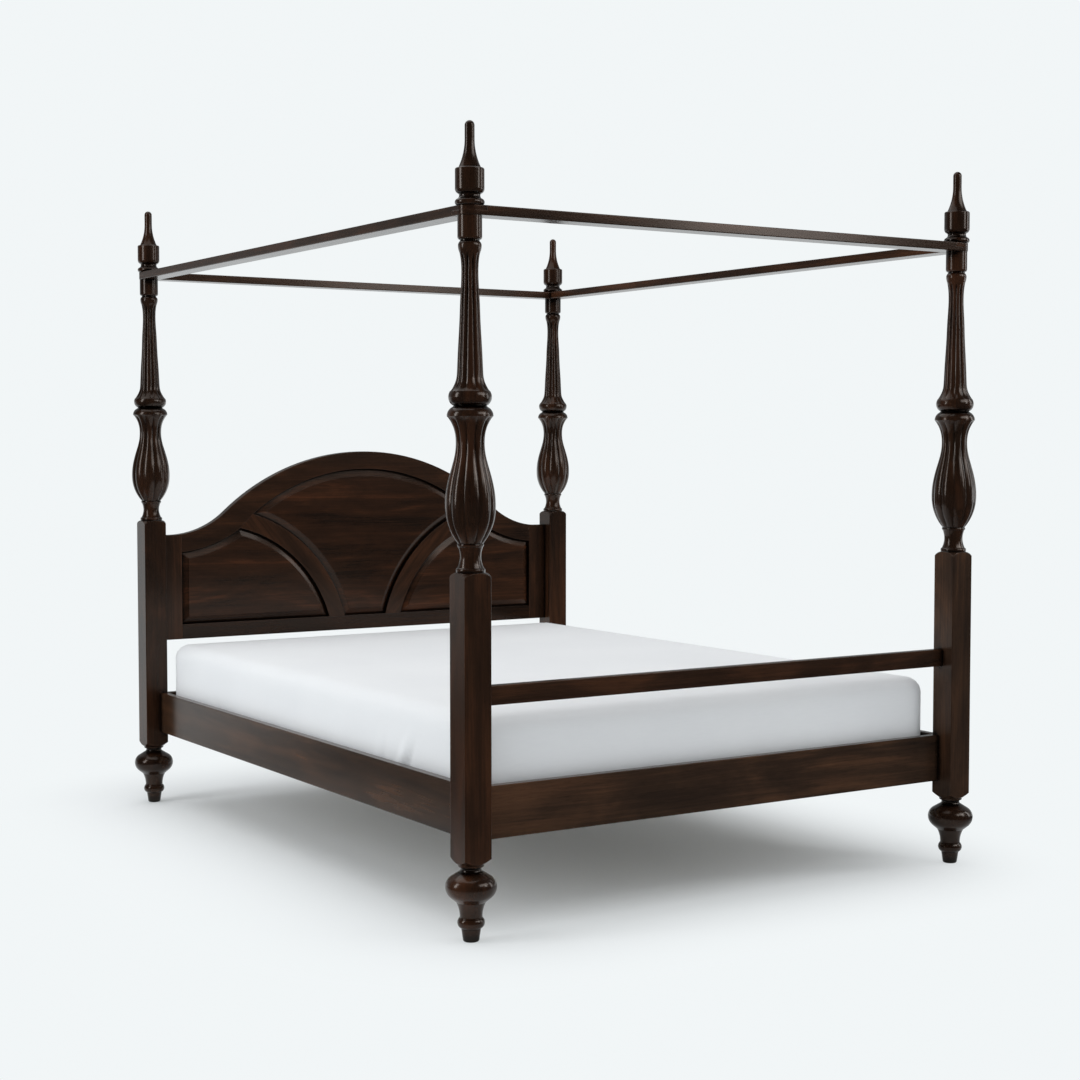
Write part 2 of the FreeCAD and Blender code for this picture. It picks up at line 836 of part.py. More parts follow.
class HeadboardCurves:
    """Circles and lines that the headboard's pieces share, for its left half."""

    def __init__(self):
        self.inner = float(INNER_X)
        self.bottom = float(size("head_bottom"))
        self.shoulder = self.bottom + float(size("head_shoulder_rise"))
        self.crown = self.shoulder + float(size("head_crown_rise"))
        self.sill = self.bottom + float(size("head_rail_height"))
        self.stile_edge = self.inner - float(size("stile_width"))
        self.bend = self.inner - float(size("shoulder_flat"))
        share = float(size("crown_share"))
        both_radii = tangent_arc((self.shoulder, -self.bend), (self.crown, 0))
        self.crown_radius = both_radii * share
        self.hollow_radius = both_radii - self.crown_radius
        self.crown_centre = (0, self.crown - self.crown_radius)
        self.hollow_centre = (-self.bend, self.shoulder + self.hollow_radius)
        self.turn = tuple(a + (b - a) * share for a, b in zip(self.crown_centre, self.hollow_centre))
        self.peak = self.peak_point()
        band_low = self.shoulder - float(size("top_band"))
        self.band_radius = tangent_arc((band_low, -self.bend), (self.peak[1], self.peak[0]))
        self.band_centre = (-self.bend, band_low + self.band_radius)
        self.mullion_centre = self.mullion_point()
        self.mullion_in = (flat(self.peak) - flat(self.mullion_centre)).Length
        self.mullion_out = self.mullion_in + float(size("mullion_width"))
        self.top_radius = float(size("centre_top_radius"))
        self.top_centre = (0, self.crown - float(size("crown_band")) - self.top_radius)

    def peak_point(self):
        """Where the left panel's opening is highest: a band's width under the hollow of the arch."""
        reach = float(size("peak_reach"))
        under = self.hollow_radius + float(size("peak_band"))
        return reach - self.bend, self.hollow_centre[1] - math.sqrt(under ** 2 - reach ** 2)

    def mullion_point(self):
        """Centre of the mullion's inner edge, which runs from the peak to its foot on the bottom rail."""
        x = float(size("mullion_centre_reach")) - self.bend
        foot = (-float(size("mullion_foot_x")), self.sill)
        rise = self.peak[1] - foot[1]
        offset = ((self.peak[0] - x) ** 2 - (foot[0] - x) ** 2) / (2 * rise)
        return x, (self.peak[1] + foot[1]) / 2 + offset

    def arch_at_stile(self):
        reach = self.bend - self.stile_edge
        return -self.stile_edge, self.hollow_centre[1] - math.sqrt(self.hollow_radius ** 2 - reach ** 2)

    def side_corners(self, grow=0.0):
        """Corners of the left panel's opening, by name."""
        outer = -self.stile_edge - grow
        sill = self.sill - grow
        band = self.band_radius - grow
        bow = self.mullion_in + grow
        inner = self.mullion_centre[0] + math.sqrt(bow ** 2 - (sill - self.mullion_centre[1]) ** 2)
        return {
            "low": (outer, sill),
            "high": (outer, self.band_centre[1] - math.sqrt(band ** 2 - (outer - self.band_centre[0]) ** 2)),
            "peak": meet_circles(self.band_centre, band, self.mullion_centre, bow, self.peak),
            "inner": (inner, sill),
        }

    def side_outline(self, grow=0.0):
        at = self.side_corners(grow)
        return [
            line(at["low"], at["high"]),
            arc(self.band_centre, at["high"], at["peak"]),
            arc(self.mullion_centre, at["peak"], at["inner"]),
            line(at["inner"], at["low"]),
        ]

    def right_outline(self, grow=0.0):
        return mirror_edges(self.side_outline(grow))

    def centre_corners(self, grow=0.0):
        """Left corners of the centre panel's opening: low one and tip."""
        sill = self.sill - grow
        bow = self.mullion_out - grow
        low = (self.mullion_centre[0] + math.sqrt(bow ** 2 - (sill - self.mullion_centre[1]) ** 2), sill)
        top = self.top_radius + grow
        near = (self.mullion_centre[0], self.crown)
        return low, meet_circles(self.mullion_centre, bow, self.top_centre, top, near)

    def centre_outline(self, grow=0.0):
        low, tip = self.centre_corners(grow)
        return [
            arc(self.mullion_centre, low, tip),
            arc(self.top_centre, tip, mirrored(tip)),
            arc(mirrored(self.mullion_centre), mirrored(tip), mirrored(low)),
            line(mirrored(low), low),
        ]


def mirror_edges(edges):
    """The same outline on the right half."""
    result = []
    for edge in edges:
        ends = [mirrored(p) for p in (edge.StartPoint, edge.EndPoint)]
        if isinstance(edge, Part.LineSegment):
            result.append(line(*ends))
        else:
            result.append(arc(mirrored(edge.Center), *ends))
    return result


CURVES = HeadboardCurves()
HEAD_FRONT = HALF_Y + size("head_setback")


def head_body(name, edges, depth, thickness):
    """A flat piece of the headboard: its outline, how far behind the front face it starts, its thickness."""
    body = new_body(name)
    pad(body, sketch(body, "XZ_Plane", edges, -depth), thickness, reverse=True)
    place(body, 0, HEAD_FRONT, 0)
    return body


def stile_edges():
    c = CURVES
    arch = c.arch_at_stile()
    bend = (-c.bend, c.shoulder)
    return [
        line((-c.inner, c.bottom), (-c.stile_edge, c.bottom)),
        line((-c.stile_edge, c.bottom), arch),
        arc(c.hollow_centre, arch, bend),
        line(bend, (-c.inner, c.shoulder)),
        line((-c.inner, c.shoulder), (-c.inner, c.bottom)),
    ]


def tongue_edges(gap):
    """Side tongue of a stile, or with a gap the mortise for it."""
    c = CURVES
    end = float(size("stile_tongue_end"))
    far = c.inner + float(size("stile_tongue_depth")) + gap
    low, high = c.bottom + end - gap, c.shoulder - end + gap
    return polygon([(-far, low), (-c.inner, low), (-c.inner, high), (-far, high)])


def top_rail_edges():
    c = CURVES
    arch = c.arch_at_stile()
    at = c.side_corners()
    tip = c.centre_corners()[1]
    half = [
        line(at["high"], arch),
        arc(c.hollow_centre, arch, c.turn),
        arc(c.band_centre, at["high"], at["peak"]),
        line(at["peak"], tip),
    ]
    crown = arc(c.crown_centre, c.turn, mirrored(c.turn))
    under = arc(c.top_centre, tip, mirrored(tip))
    return half + [crown, under] + mirror_edges(half)


def mullion_edges():
    c = CURVES
    at = c.side_corners()
    foot, tip = c.centre_corners()
    return [
        arc(c.mullion_centre, at["inner"], at["peak"]),
        line(at["peak"], tip),
        arc(c.mullion_centre, tip, foot),
        line(foot, at["inner"]),
    ]


def on_arch(edge):
    """Whether an edge runs along the headboard's upper outline."""
    radii = (CURVES.crown_radius, CURVES.hollow_radius)
    return isinstance(edge.Curve, Part.Circle) and any(abs(edge.Curve.Radius - r) < TOUCH for r in radii)


def head_dowel_places():
    """Middle and direction of the dowels in the headboard's frame, in X and Z."""
    c = CURVES
    at = c.side_corners()
    foot, tip = c.centre_corners()
    groove = float(size("groove_depth"))
    joint = (flat(at["peak"]) + flat(tip)) / 2
    across = (joint - flat(c.mullion_centre)).normalize()
    left = [
        ((-c.stile_edge, (c.bottom + c.sill - groove) / 2), (1, 0)),
        ((-c.stile_edge, (c.arch_at_stile()[1] + at["high"][1] + groove) / 2), (1, 0)),
        (((at["inner"][0] + foot[0]) / 2, c.sill), (0, 1)),
        ((joint.x, joint.y), (across.y, -across.x)),
    ]
    return left + [(mirrored(at), mirrored(way)) for at, way in left]


def head_dowels(name, grow):
    """Dowels that hold the headboard's frame together, or with a gap the holes for them."""
    half = size("head_dowel_half") + grow
    y = HEAD_FRONT + size("head_thickness") / 2
    rods = []
    for at, way in head_dowel_places():
        start = (at[0] - way[0] * float(half), y, at[1] - way[1] * float(half))
        rods.append(rod(name, start, (way[0], 0, way[1]), size("head_dowel_radius") + grow, half * 2))
    return rods


def raised_panel(name, outline):
    """A panel with a tongue all round, a sloped bevel and a raised field."""
    depth = size("groove_setback")
    tongue = float(size("groove_depth") - size("panel_float"))
    body = head_body(name, outline(tongue), depth, size("panel_tongue"))
    field = size("field_setback")
    shelf = field + size("field_step")
    inset = -float(size("bevel_width"))
    steps = ((0.0, depth), (inset, shelf))
    bevel = [sketch(body, "XZ_Plane", outline(grow), -level) for grow, level in steps]
    loft(body, bevel, ruled=True)
    pad(body, sketch(body, "XZ_Plane", outline(inset), -field), depth - field, reverse=True)
    return body


def make_headboard():
    c = CURVES
    outlines = {"left": c.side_outline, "centre": c.centre_outline, "right": c.right_outline}
    depth = size("groove_setback")
    grooves = [
        head_body(f"groove_{side}", outline(float(size("groove_depth"))), depth, size("panel_tongue"))
        for side, outline in outlines.items()
    ]
    tools = grooves + head_dowels("head_dowel_hole", PIN_GAP)
    pieces = {
        "headboard_left_stile": stile_edges(),
        "headboard_right_stile": mirror_edges(stile_edges()),
        "headboard_bottom_rail": polygon([
            (-c.stile_edge, c.bottom),
            (c.stile_edge, c.bottom),
            (c.stile_edge, c.sill),
            (-c.stile_edge, c.sill),
        ]),
        "headboard_top_rail": top_rail_edges(),
        "headboard_left_mullion": mullion_edges(),
        "headboard_right_mullion": mirror_edges(mullion_edges()),
    }
    arched = ("headboard_left_stile", "headboard_right_stile", "headboard_top_rail")
    nodes = {}
    for name, edges in pieces.items():
        body = head_body(name + "_blank", edges, as_size(0), size("head_thickness"))
        if name in arched:
            ease_edges(body, on_arch)
        if name.endswith("stile"):
            tongue = tongue_edges(0.0)
            tongue = tongue if "left" in name else mirror_edges(tongue)
            inset = (size("head_thickness") - size("stile_tongue_thickness")) / 2
            pad(body, sketch(body, "XZ_Plane", tongue, -inset), size("stile_tongue_thickness"), reverse=True)
        nodes[name] = cut(name, body, tools)
    for side, outline in outlines.items():
        nodes[f"headboard_{side}_panel"] = raised_panel(f"headboard_{side}_panel", outline)
    nodes["headboard_dowels"] = group("headboard_dowels", head_dowels("head_dowel", as_size(0)))
    return nodes


def head_mortise(corner):
    """Mortise in a head leg for the headboard's side tongue."""
    gap = float(size("tongue_gap"))
    edges = tongue_edges(gap)
    edges = edges if CORNERS[corner][0] < 0 else mirror_edges(edges)
    thickness = size("stile_tongue_thickness") + size("tongue_gap") * 2
    return head_body(f"{corner}_mortise", edges, (size("head_thickness") - thickness) / 2, thickness)


# Foot crossbar

BAR_MID = size("bar_bottom") + size("bar_height") / 2
BAR_Y = -HALF_Y + size("bar_setback") + size("bar_thickness") / 2


def bar_tenon(side, gap):
    """Round tenon at one end of the crossbar, or with a gap the hole for it."""
    return rod("bar_tenon", (side * INNER_X, BAR_Y, BAR_MID), (side, 0, 0),
               size("bar_tenon_radius") + gap, size("bar_tenon_length") + gap)


def make_crossbar():
    half, low = size("bar_thickness") / 2, size("bar_bottom")
    blank = eased_board("foot_crossbar_bar", (-INNER_X, BAR_Y - half, low),
                        (INNER_X, BAR_Y + half, low + size("bar_height")))
    bar = doc.addObject("Part::MultiFuse", "foot_crossbar")
    bar.Shapes = [blank, bar_tenon(-1, as_size(0)), bar_tenon(1, as_size(0))]
    return bar


# Posts


def shoulder(crest, edge, clear):
    """What is turned off the top of a square leg: outside a bulging arc from its crest down to its edges."""
    start, end = flat(crest), flat(edge)
    across = end - start
    outward = Vector(-across.y, across.x, 0).normalize()
    middle = (start + end) / 2 + outward * float(size("leg_top_bulge"))
    foot = (clear[0], edge[1])
    return [Part.ArcOfCircle(start, middle, end), line(edge, foot), line(foot, clear), line(clear, crest)]


def leg_blank(corner):
    """Square leg whose ends are turned down to meet the bun foot and the vase."""
    body = new_body(f"{corner}_leg_blank")
    half = float(LEG) / 2
    length = VASE_BASE[end_name(corner)] - LEG_BASE
    height = float(length)
    square = rounded_rectangle(half, half, float(size("edge_ease")))
    pad(body, sketch(body, "XY_Plane", square), length)
    edge = half * math.sqrt(2)
    clear = edge + half
    toe = float(size("leg_toe_radius"))
    toe_rise = float(size("leg_toe_rise"))
    low = toe_rise + float(size("leg_low_shoulder"))
    top = height - float(size("leg_top_shoulder"))
    crest = float(size("leg_top_radius"))
    turn(body, "Groove", polygon([(toe, 0), (toe, toe_rise), (edge, low), (clear, low), (clear, 0)]))
    turn(body, "Groove", shoulder((crest, height), (edge, top), (clear, height)))
    socket(body, size("bolt_radius") + PIN_GAP, 0, size("bolt_depth") + size("socket_spare"))
    depth = float(size("dowel_depth") + size("socket_spare"))
    socket(body, size("dowel_radius") + PIN_GAP, height - depth, height)
    place(body, *corner_point(corner, LEG_BASE))
    return body


def make_leg(corner):
    tools = hook_slots(corner, "side") + hook_slots(corner, "end")
    side, end = CORNERS[corner]
    if end < 0:
        tools.append(bar_tenon(side, size("tongue_gap")))
    else:
        tools.append(head_mortise(corner))
    return cut(f"{corner}_leg", leg_blank(corner), tools)


def make_posts():
    bun, finial = make_bun(), make_finial()
    vases = {end: make_vase(end) for end in TURNING_SHARES}
    shafts = {end: make_shaft(end) for end in TURNING_SHARES}
    doc.recompute()
    nodes = {}
    for corner in CORNERS:
        end = end_name(corner)
        pieces = {
            "bun": (bun, as_size(0)),
            "vase": (vases[end], VASE_BASE[end]),
            "shaft": (shafts[end], SHAFT_BASE[end]),
            "finial": (finial, FINIAL_BASE),
        }
        for piece, (pattern, level) in pieces.items():
            name = f"{corner}_{piece}"
            nodes[name] = copy_of(name, pattern, corner_point(corner, level))
        nodes[f"{corner}_leg"] = make_leg(corner)
    nodes.update(make_post_rods())
    return nodes


def make_post_rods():
    """Bolts, dowels and pins on the posts' axes: joint level at each end, radius, reach below and above."""
    bolt, dowel, pin = size("bolt_depth"), size("dowel_depth"), size("pin_depth")
    fasteners = {
        "foot_bolts": (dict.fromkeys(TURNING_SHARES, LEG_BASE), size("bolt_radius"), bolt, bolt),
        "vase_dowels": (VASE_BASE, size("dowel_radius"), dowel, dowel),
        "shaft_dowels": (SHAFT_BASE, size("dowel_radius"), dowel, dowel),
        "canopy_pins": (dict.fromkeys(TURNING_SHARES, CANOPY_BASE), size("pin_radius"), pin,
                        size("canopy_thickness") + size("pin_reach")),
    }
    nodes = {}
    for name, (joints, radius, below, above) in fasteners.items():
        rods = []
        for corner in CORNERS:
            start = corner_point(corner, joints[end_name(corner)] - below)
            rods.append(rod(f"{name}_{corner}", start, (0, 0, 1), radius, below + above))
        nodes[name] = group(name, rods)
    return nodes


# Low frame and deck


def make_rails(screw_hole, saddle_hole):
    nodes = {}
    inner, outer = LEG / 2, LEG / 2 - size("rail_thickness")
    low, high = size("rail_bottom"), RAIL_TOP
    for side, name in ((-1, "left"), (1, "right")):
        blank = eased_board(f"{name}_side_rail_board", (side * (HALF_X - inner), -INNER_Y, low),
                            (side * (HALF_X - outer), INNER_Y, high))
        tools = rail_kerf(f"foot_{name}", "side") + rail_kerf(f"head_{name}", "side")
        tools += screws("ledger_hole", screw_hole, ledger_screw_places(side))
        nodes[f"{name}_side_rail"] = cut(f"{name}_side_rail", blank, tools)
    for end, name in ((-1, "foot"), (1, "head")):
        blank = eased_board(f"{name}_rail_board", (-INNER_X, end * (HALF_Y - inner), low),
                            (INNER_X, end * (HALF_Y - outer), high))
        tools = rail_kerf(f"{name}_left", "end") + rail_kerf(f"{name}_right", "end")
        tools += screws("saddle_hole", saddle_hole, saddle_screw_places(end))
        nodes[f"{name}_rail"] = cut(f"{name}_rail", blank, tools)
    return nodes


def make_hooks():
    pattern = hook_plate()
    doc.recompute()
    plates, pins = [], []
    for corner in CORNERS:
        for kind in ("side", "end"):
            x, y = rail_point(corner, kind, as_size(0), RAIL_MID)
            at = (x, y, hook_levels(kind)[0])
            plates.append(copy_of("hook_plate", pattern, at, hook_rotation(corner, kind)))
            for along, level in sum(pin_places(kind), []):
                pins.append(hook_pin("hook_pin", corner, kind, along, level, size("hook_pin_radius")))
    return {"rail_hooks": group("rail_hooks", plates), "hook_pins": group("hook_pins", pins)}


def make_deck():
    gap = size("ledger_end_gap")
    screw = screw_pattern("screw_pattern", size("screw_length"), 0)
    short = screw_pattern("saddle_screw_pattern", size("saddle_screw_length"), 0)
    screw_hole = screw_pattern("screw_hole_pattern", size("screw_length"), PIN_GAP)
    saddle_hole = screw_pattern("saddle_hole_pattern", size("saddle_screw_length"), PIN_GAP)
    doc.recompute()
    nodes = make_rails(screw_hole, saddle_hole)
    fixings = []
    for side, name in ((-1, "left"), (1, "right")):
        x = side * INNER_X
        blank = box(f"{name}_ledger_strip", (x, gap - INNER_Y, SLAT_BOTTOM - size("ledger_height")),
                    (x - side * size("ledger_width"), INNER_Y - gap, SLAT_BOTTOM))
        places = ledger_screw_places(side)
        nodes[f"{name}_ledger"] = cut(f"{name}_ledger", blank, screws("ledger_hole", screw_hole, places))
        fixings += screws("ledger_screw", screw, places)
    nodes["ledger_screws"] = group("ledger_screws", fixings)
    saddles, fixings = [], []
    plate, half = size("saddle_plate"), size("bearer_width") / 2
    for end in (-1, 1):
        back = end * INNER_Y
        front = end * (INNER_Y - size("saddle_depth"))
        outside = box("saddle_block", (-half - plate, back, BEARER_BOTTOM - plate),
                      (half + plate, front, SLAT_BOTTOM))
        hollow = box("saddle_hollow", (-half - size("tongue_gap"), end * (INNER_Y - plate), BEARER_BOTTOM),
                     (half + size("tongue_gap"), front - end * plate, SLAT_BOTTOM + plate))
        places = saddle_screw_places(end)
        saddles.append(cut("saddle", outside, [hollow] + screws("saddle_hole", saddle_hole, places)))
        fixings += screws("saddle_screw", short, places)
    nodes["bearer_saddles"] = group("bearer_saddles", saddles)
    nodes["saddle_screws"] = group("saddle_screws", fixings)
    reach = INNER_Y - plate - size("tongue_gap")
    nodes["centre_bearer"] = box("centre_bearer", (-half, -reach, BEARER_BOTTOM), (half, reach, SLAT_BOTTOM))
    nodes["slats"] = make_slats()
    return nodes


def make_slats():
    count = int(float(size("slat_count")))
    first = size("slat_margin") - INNER_Y
    step = (INNER_Y * 2 - size("slat_margin") * 2 - size("slat_width")) / (count - 1)
    half = INNER_X - size("slat_end_gap")
    boards = []
    for k in range(count):
        y = first + step * k
        boards.append(box(f"slat_{k + 1}", (-half, y, SLAT_BOTTOM), (half, y + size("slat_width"), SLAT_TOP)))
    return group("slats", boards)


# Mattress


def mattress_outline(inset):
    """Plan of the mattress at one level: sides drawn in between rounded corners."""
    half_x = float(size("mattress_width")) / 2 - inset
    half_y = float(size("mattress_length")) / 2 - inset
    corner = float(size("mattress_corner"))
    draw = float(size("mattress_draw"))
    return rounded_rectangle(half_x, half_y, corner, draw)


def make_mattress():
    body = new_body("mattress")
    height = float(size("mattress_height"))
    low, top = float(size("mattress_low_round")), float(size("mattress_top_round"))
    steps = int(float(size("mattress_steps")))
    crown = float(size("mattress_crown"))
    quarter = [math.pi / 2 * k / steps for k in range(steps + 1)]
    levels = [(low * (1 - math.cos(t)), low * (1 - math.sin(t))) for t in quarter]
    levels.append((height / 2, float(size("mattress_waist"))))
    levels += [(height - top * (1 - math.sin(t)), top * (1 - math.cos(t))) for t in quarter]
    spare = float(size("mattress_width")) / 2 - top - float(size("mattress_corner"))
    for k in range(1, steps):
        share = k / steps
        levels.append((height + crown * math.sin(share * math.pi / 2), top + (spare - top) * share))
    sections = [sketch(body, "XY_Plane", mattress_outline(inset), level) for level, inset in levels]
    loft(body, sections, ruled=True)
    place(body, 0, 0, SLAT_TOP + size("mattress_gap"))
    return {"mattress": body}


# Canopy frame


def canopy_slab(body, half_length, half_width, level, thickness):
    """Half-thickness layer with two rounded outer corners: long along X, outer edge towards -Y."""
    x, r = float(half_length), float(half_width)
    edges = [
        line((-x - r, r), (-x - r, 0)),
        arc((-x, 0), (-x - r, 0), (-x, -r)),
        line((-x, -r), (x, -r)),
        arc((x, 0), (x, -r), (x + r, 0)),
        line((x + r, 0), (x + r, r)),
        line((x + r, r), (-x - r, r)),
    ]
    pad(body, sketch(body, "XY_Plane", edges, level), thickness)


def canopy_core(body, half_length, half_width, level, thickness):
    """Half-thickness layer that ends at the rails across it."""
    x, r = float(half_length) - float(half_width), float(half_width)
    pad(body, sketch(body, "XY_Plane", polygon([(-x, -r), (x, -r), (x, r), (-x, r)]), level), thickness)


def canopy_rail(name, half_length, lapped_over, rotation, position):
    """A flat rail, half lapped at both ends, with a hole at each for the post's pin."""
    body = new_body(name)
    half_width = size("canopy_width") / 2
    layer = size("canopy_thickness") / 2
    upper, lower = (canopy_slab, canopy_core) if lapped_over else (canopy_core, canopy_slab)
    lower(body, half_length, half_width, as_size(0), layer)
    upper(body, half_length, half_width, layer, layer)
    radius = float(size("pin_radius") + size("lift_gap"))
    holes = [Part.Circle(Vector(end * float(half_length), 0, 0), Vector(0, 0, 1), radius) for end in (-1, 1)]
    bores = body.newObject("PartDesign::Pocket", name + "_bores")
    bores.Profile = sketch(body, "XY_Plane", holes)
    bores.Type = 1
    bores.Reversed = True
    ease_edges(body, lambda edge: edge.Length > float(half_length))
    body.Placement = FreeCAD.Placement(Vector(), rotation)
    place(body, *position)
    return body


def make_canopy():
    base = CANOPY_BASE
    up = Vector(0, 0, 1)
    rails = {
        "foot_canopy_rail": (HALF_X, False, 0, (0, -HALF_Y, base)),
        "right_canopy_rail": (HALF_Y, True, 90, (HALF_X, 0, base)),
        "head_canopy_rail": (HALF_X, False, 180, (0, HALF_Y, base)),
        "left_canopy_rail": (HALF_Y, True, 270, (-HALF_X, 0, base)),
    }
    return {
        name: canopy_rail(name, half, over, FreeCAD.Rotation(up, angle), at)
        for name, (half, over, angle, at) in rails.items()
    }


# The whole bed


def check_and_write(nodes):
    doc.recompute()
    faults = [item.Name for item in doc.Objects if {"Invalid", "Error"} & set(item.State)]
    faults += [name for name, item in nodes.items() if item.Shape.isNull() or not item.Shape.isValid()]
    if faults:
        raise RuntimeError("failed pieces: " + ", ".join(faults))
    os.makedirs("parts", exist_ok=True)
    for name, item in nodes.items():
        item.Label = name
        item.Shape.exportStep(f"parts/{name}.step")
        print(f"{name}: {len(item.Shape.Solids)} solids, {item.Shape.Volume / 1e6:.3f} dm3")


bed = {}
bed.update(make_posts())
bed.update(make_hooks())
bed.update(make_deck())
bed.update({"foot_crossbar": make_crossbar()})
bed.update(make_headboard())
bed.update(make_mattress())
bed.update(make_canopy())
check_and_write(bed)
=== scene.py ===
"""Looks of the canopy bed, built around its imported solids, in metres."""
import json
import math

import bmesh
import bpy
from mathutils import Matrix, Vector, noise


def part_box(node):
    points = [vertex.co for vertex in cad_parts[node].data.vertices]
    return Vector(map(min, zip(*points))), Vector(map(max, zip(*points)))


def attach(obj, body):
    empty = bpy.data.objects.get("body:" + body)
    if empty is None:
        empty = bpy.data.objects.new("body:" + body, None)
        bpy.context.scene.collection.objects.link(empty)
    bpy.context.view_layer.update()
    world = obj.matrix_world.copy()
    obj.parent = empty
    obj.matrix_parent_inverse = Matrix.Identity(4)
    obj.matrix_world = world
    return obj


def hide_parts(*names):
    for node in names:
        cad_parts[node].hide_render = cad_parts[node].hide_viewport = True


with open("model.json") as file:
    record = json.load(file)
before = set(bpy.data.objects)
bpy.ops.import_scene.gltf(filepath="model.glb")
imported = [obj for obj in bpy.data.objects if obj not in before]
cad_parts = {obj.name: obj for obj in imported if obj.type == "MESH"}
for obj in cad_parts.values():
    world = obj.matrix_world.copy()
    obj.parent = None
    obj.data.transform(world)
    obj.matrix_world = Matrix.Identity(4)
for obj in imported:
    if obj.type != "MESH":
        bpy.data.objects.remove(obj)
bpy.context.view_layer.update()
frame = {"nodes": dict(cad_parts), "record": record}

X_AXIS, Y_AXIS, Z_AXIS = 0, 1, 2
TINY = 1e-6
WHITE = (1.0, 1.0, 1.0)
COOL_WHITE = (0.97, 0.985, 1.0)

# Camera, as the photograph was taken
CAMERA_PLACE = (-3.11863, -5.00669, 1.22500)
CAMERA_YAW = math.radians(32.50086)
CAMERA_PITCH = math.radians(-2.99375)
CAMERA_LENS = 62.75
SENSOR = 36.0

# Studio: floor and backdrop, and how the floor's shadow fades outside a rectangle under the bed
BACKDROP = (0.885, 0.92, 0.93)
FLOOR_COLOUR = (0.845, 0.87, 0.88)
FLOOR_HALF = 60.0
FLOOR_CELLS = 8
AMBIENT = 0.6
SHADOW_MIDDLE = (-0.06, 0.125, 0.0)
SHADOW_REACH = (0.56, 0.925, 0.0)
SHADOW_FADE = (-0.08, 0.75)
MIRROR_FADE = (0.3, 1.2)

# What gloss sees of the studio: its far side is bright low down, its near side is dark
FAR_SIDE = (math.sin(CAMERA_YAW), math.cos(CAMERA_YAW), 0.0)
STUDIO_TURN = (0.16, 0.54)
STUDIO_DARK = 0.06
STUDIO_RISE = (0.0, 0.09)
STUDIO_TOP = 0.3

LAMPS = {
    # name: place, point it faces, width, height, power, colour
    "overhead": ((-0.6, 0.8, 4.7), (-0.1, 0.1, 0.0), 5.0, 5.0, 87.0, WHITE),
    "left_box": ((-5.2, 0.4, 2.7), (0.0, 0.0, 1.0), 1.1, 3.2, 74.0, COOL_WHITE),
    "front_box": ((3.4, -5.1, 2.9), (-0.2, 0.6, 1.0), 1.0, 1.8, 30.0, WHITE),
    "right_box": ((5.2, -2.5, 2.1), (-0.2, 0.8, 1.0), 0.9, 3.4, 36.0, WHITE),
    "front_card": ((2.6, -4.9, 4.1), (0.0, 0.6, 1.2), 4.5, 2.0, 95.0, WHITE),
}
GLOSS_ONLY = ("front_card",)

# Show wood: tones from dark to light, and painted light and shade per board: listed boards made lighter or
# darker for the light they get, some also greyer for a painted reflection
FRAME_TONES = ((0.0108, 0.0056, 0.0036), (0.025, 0.0110, 0.0058), (0.066, 0.0245, 0.0108))
TURNED_TONES = ((0.0088, 0.0044, 0.0027), (0.020, 0.0086, 0.0044), (0.052, 0.0185, 0.0080))
PANEL_TONES = ((0.0105, 0.0053, 0.0033), (0.0275, 0.0110, 0.0053), (0.092, 0.0300, 0.0118))
TONE_STOPS = (0.38, 0.5, 0.65)
NO_PAINTED_LIGHT = (1.0, 1.0, 1.0)
# Painted light and shade: each listed board made lighter or darker for the light it gets, and some also
# greyer for a painted reflection
BOARD_PAINTED_LIGHT = {
    "foot_rail": (1.5, 1.85, 2.15),
    "foot_crossbar": (1.15, 1.2, 1.25),
    "foot_right_leg": (1.65, 1.95, 2.2),
    "left_side_rail": (1.35, 1.6, 1.7),
    "head_left_leg": (0.75, 0.75, 0.75),
    "headboard_bottom_rail": (0.5, 0.5, 0.5),
    "headboard_right_panel": (1.4, 1.4, 1.4),
}
TURNED_PIECES = ("bun", "vase", "shaft", "finial")
MULLION_TILT = math.radians(40)
MULLION_TILTS = {"headboard_left_mullion": MULLION_TILT, "headboard_right_mullion": -MULLION_TILT}

# Show wood: its figure; each board starts a step further on in the grain, within a span
BOARD_STEPS = ((1.37, 5.0), (2.11, 7.0), (3.19, 6.0))
SWAY_SCALE = (0.9, 3.0)
SWAY_REACH = 0.05
FIGURE = {
    # name: scale along and across the grain, detail, roughness, distortion
    "clouds": (1.3, 3.4, 2.0, 0.5, 0.0),
    "swirls": (2.4, 10.0, 3.0, 0.5, 1.7),
    "bands": (0.6, 34.0, 4.0, 0.6, 0.0),
    "grain": (4.0, 170.0, 3.0, 0.6, 0.0),
}
FIGURE_SHARES = {"clouds": 0.30, "swirls": 0.30, "bands": 0.24, "grain": 0.16}
PORE_SCALE = (30.0, 850.0)
PORE_DETAIL = 2.0
PORE_STOPS = ((0.36, 0.78), (0.46, 1.0))

# Show wood: lacquer, edges lightened by rubbed wear and a painted highlight, and painted shade in recesses
LACQUER = {"Specular IOR Level": 0.22, "Specular Tint": (1.0, 0.78, 0.62, 1.0), "Coat Roughness": 0.14}
# Finish: coat weight, bevel radius for the eased normals, the occlusion level where painted shade in
# recesses is darkest, and how far that occlusion looks
BOARD_FINISH = {"coat": 0.2, "eased": 0.0024, "painted_recess_shade": 0.52, "reach": 0.019}
TURNED_FINISH = {"coat": 0.34, "eased": 0.0007, "painted_recess_shade": 0.74, "reach": 0.028}
BEVEL_SAMPLES = 6
RECESS_SAMPLES = 8
# Painted shade in recesses: darkest factor, and the occlusion level where it ends
PAINTED_RECESS_SHADE_DARKEST = 0.07
PAINTED_RECESS_SHADE_END = 0.965
# Edges lightened in colour: rubbed wear and a painted highlight along them
EDGE_TURN = (0.985, 0.85)
EDGE_AIR = (0.85, 0.98)
EDGE_WEAR_AND_HIGHLIGHT = 0.3
EDGE_WEAR_AND_HIGHLIGHT_LIFT = 1.4
ROUGH_LEAST = 0.15
ROUGH_RANGE = 0.16
GRAIN_BUMP = {"Strength": 0.025, "Distance": 0.0004}

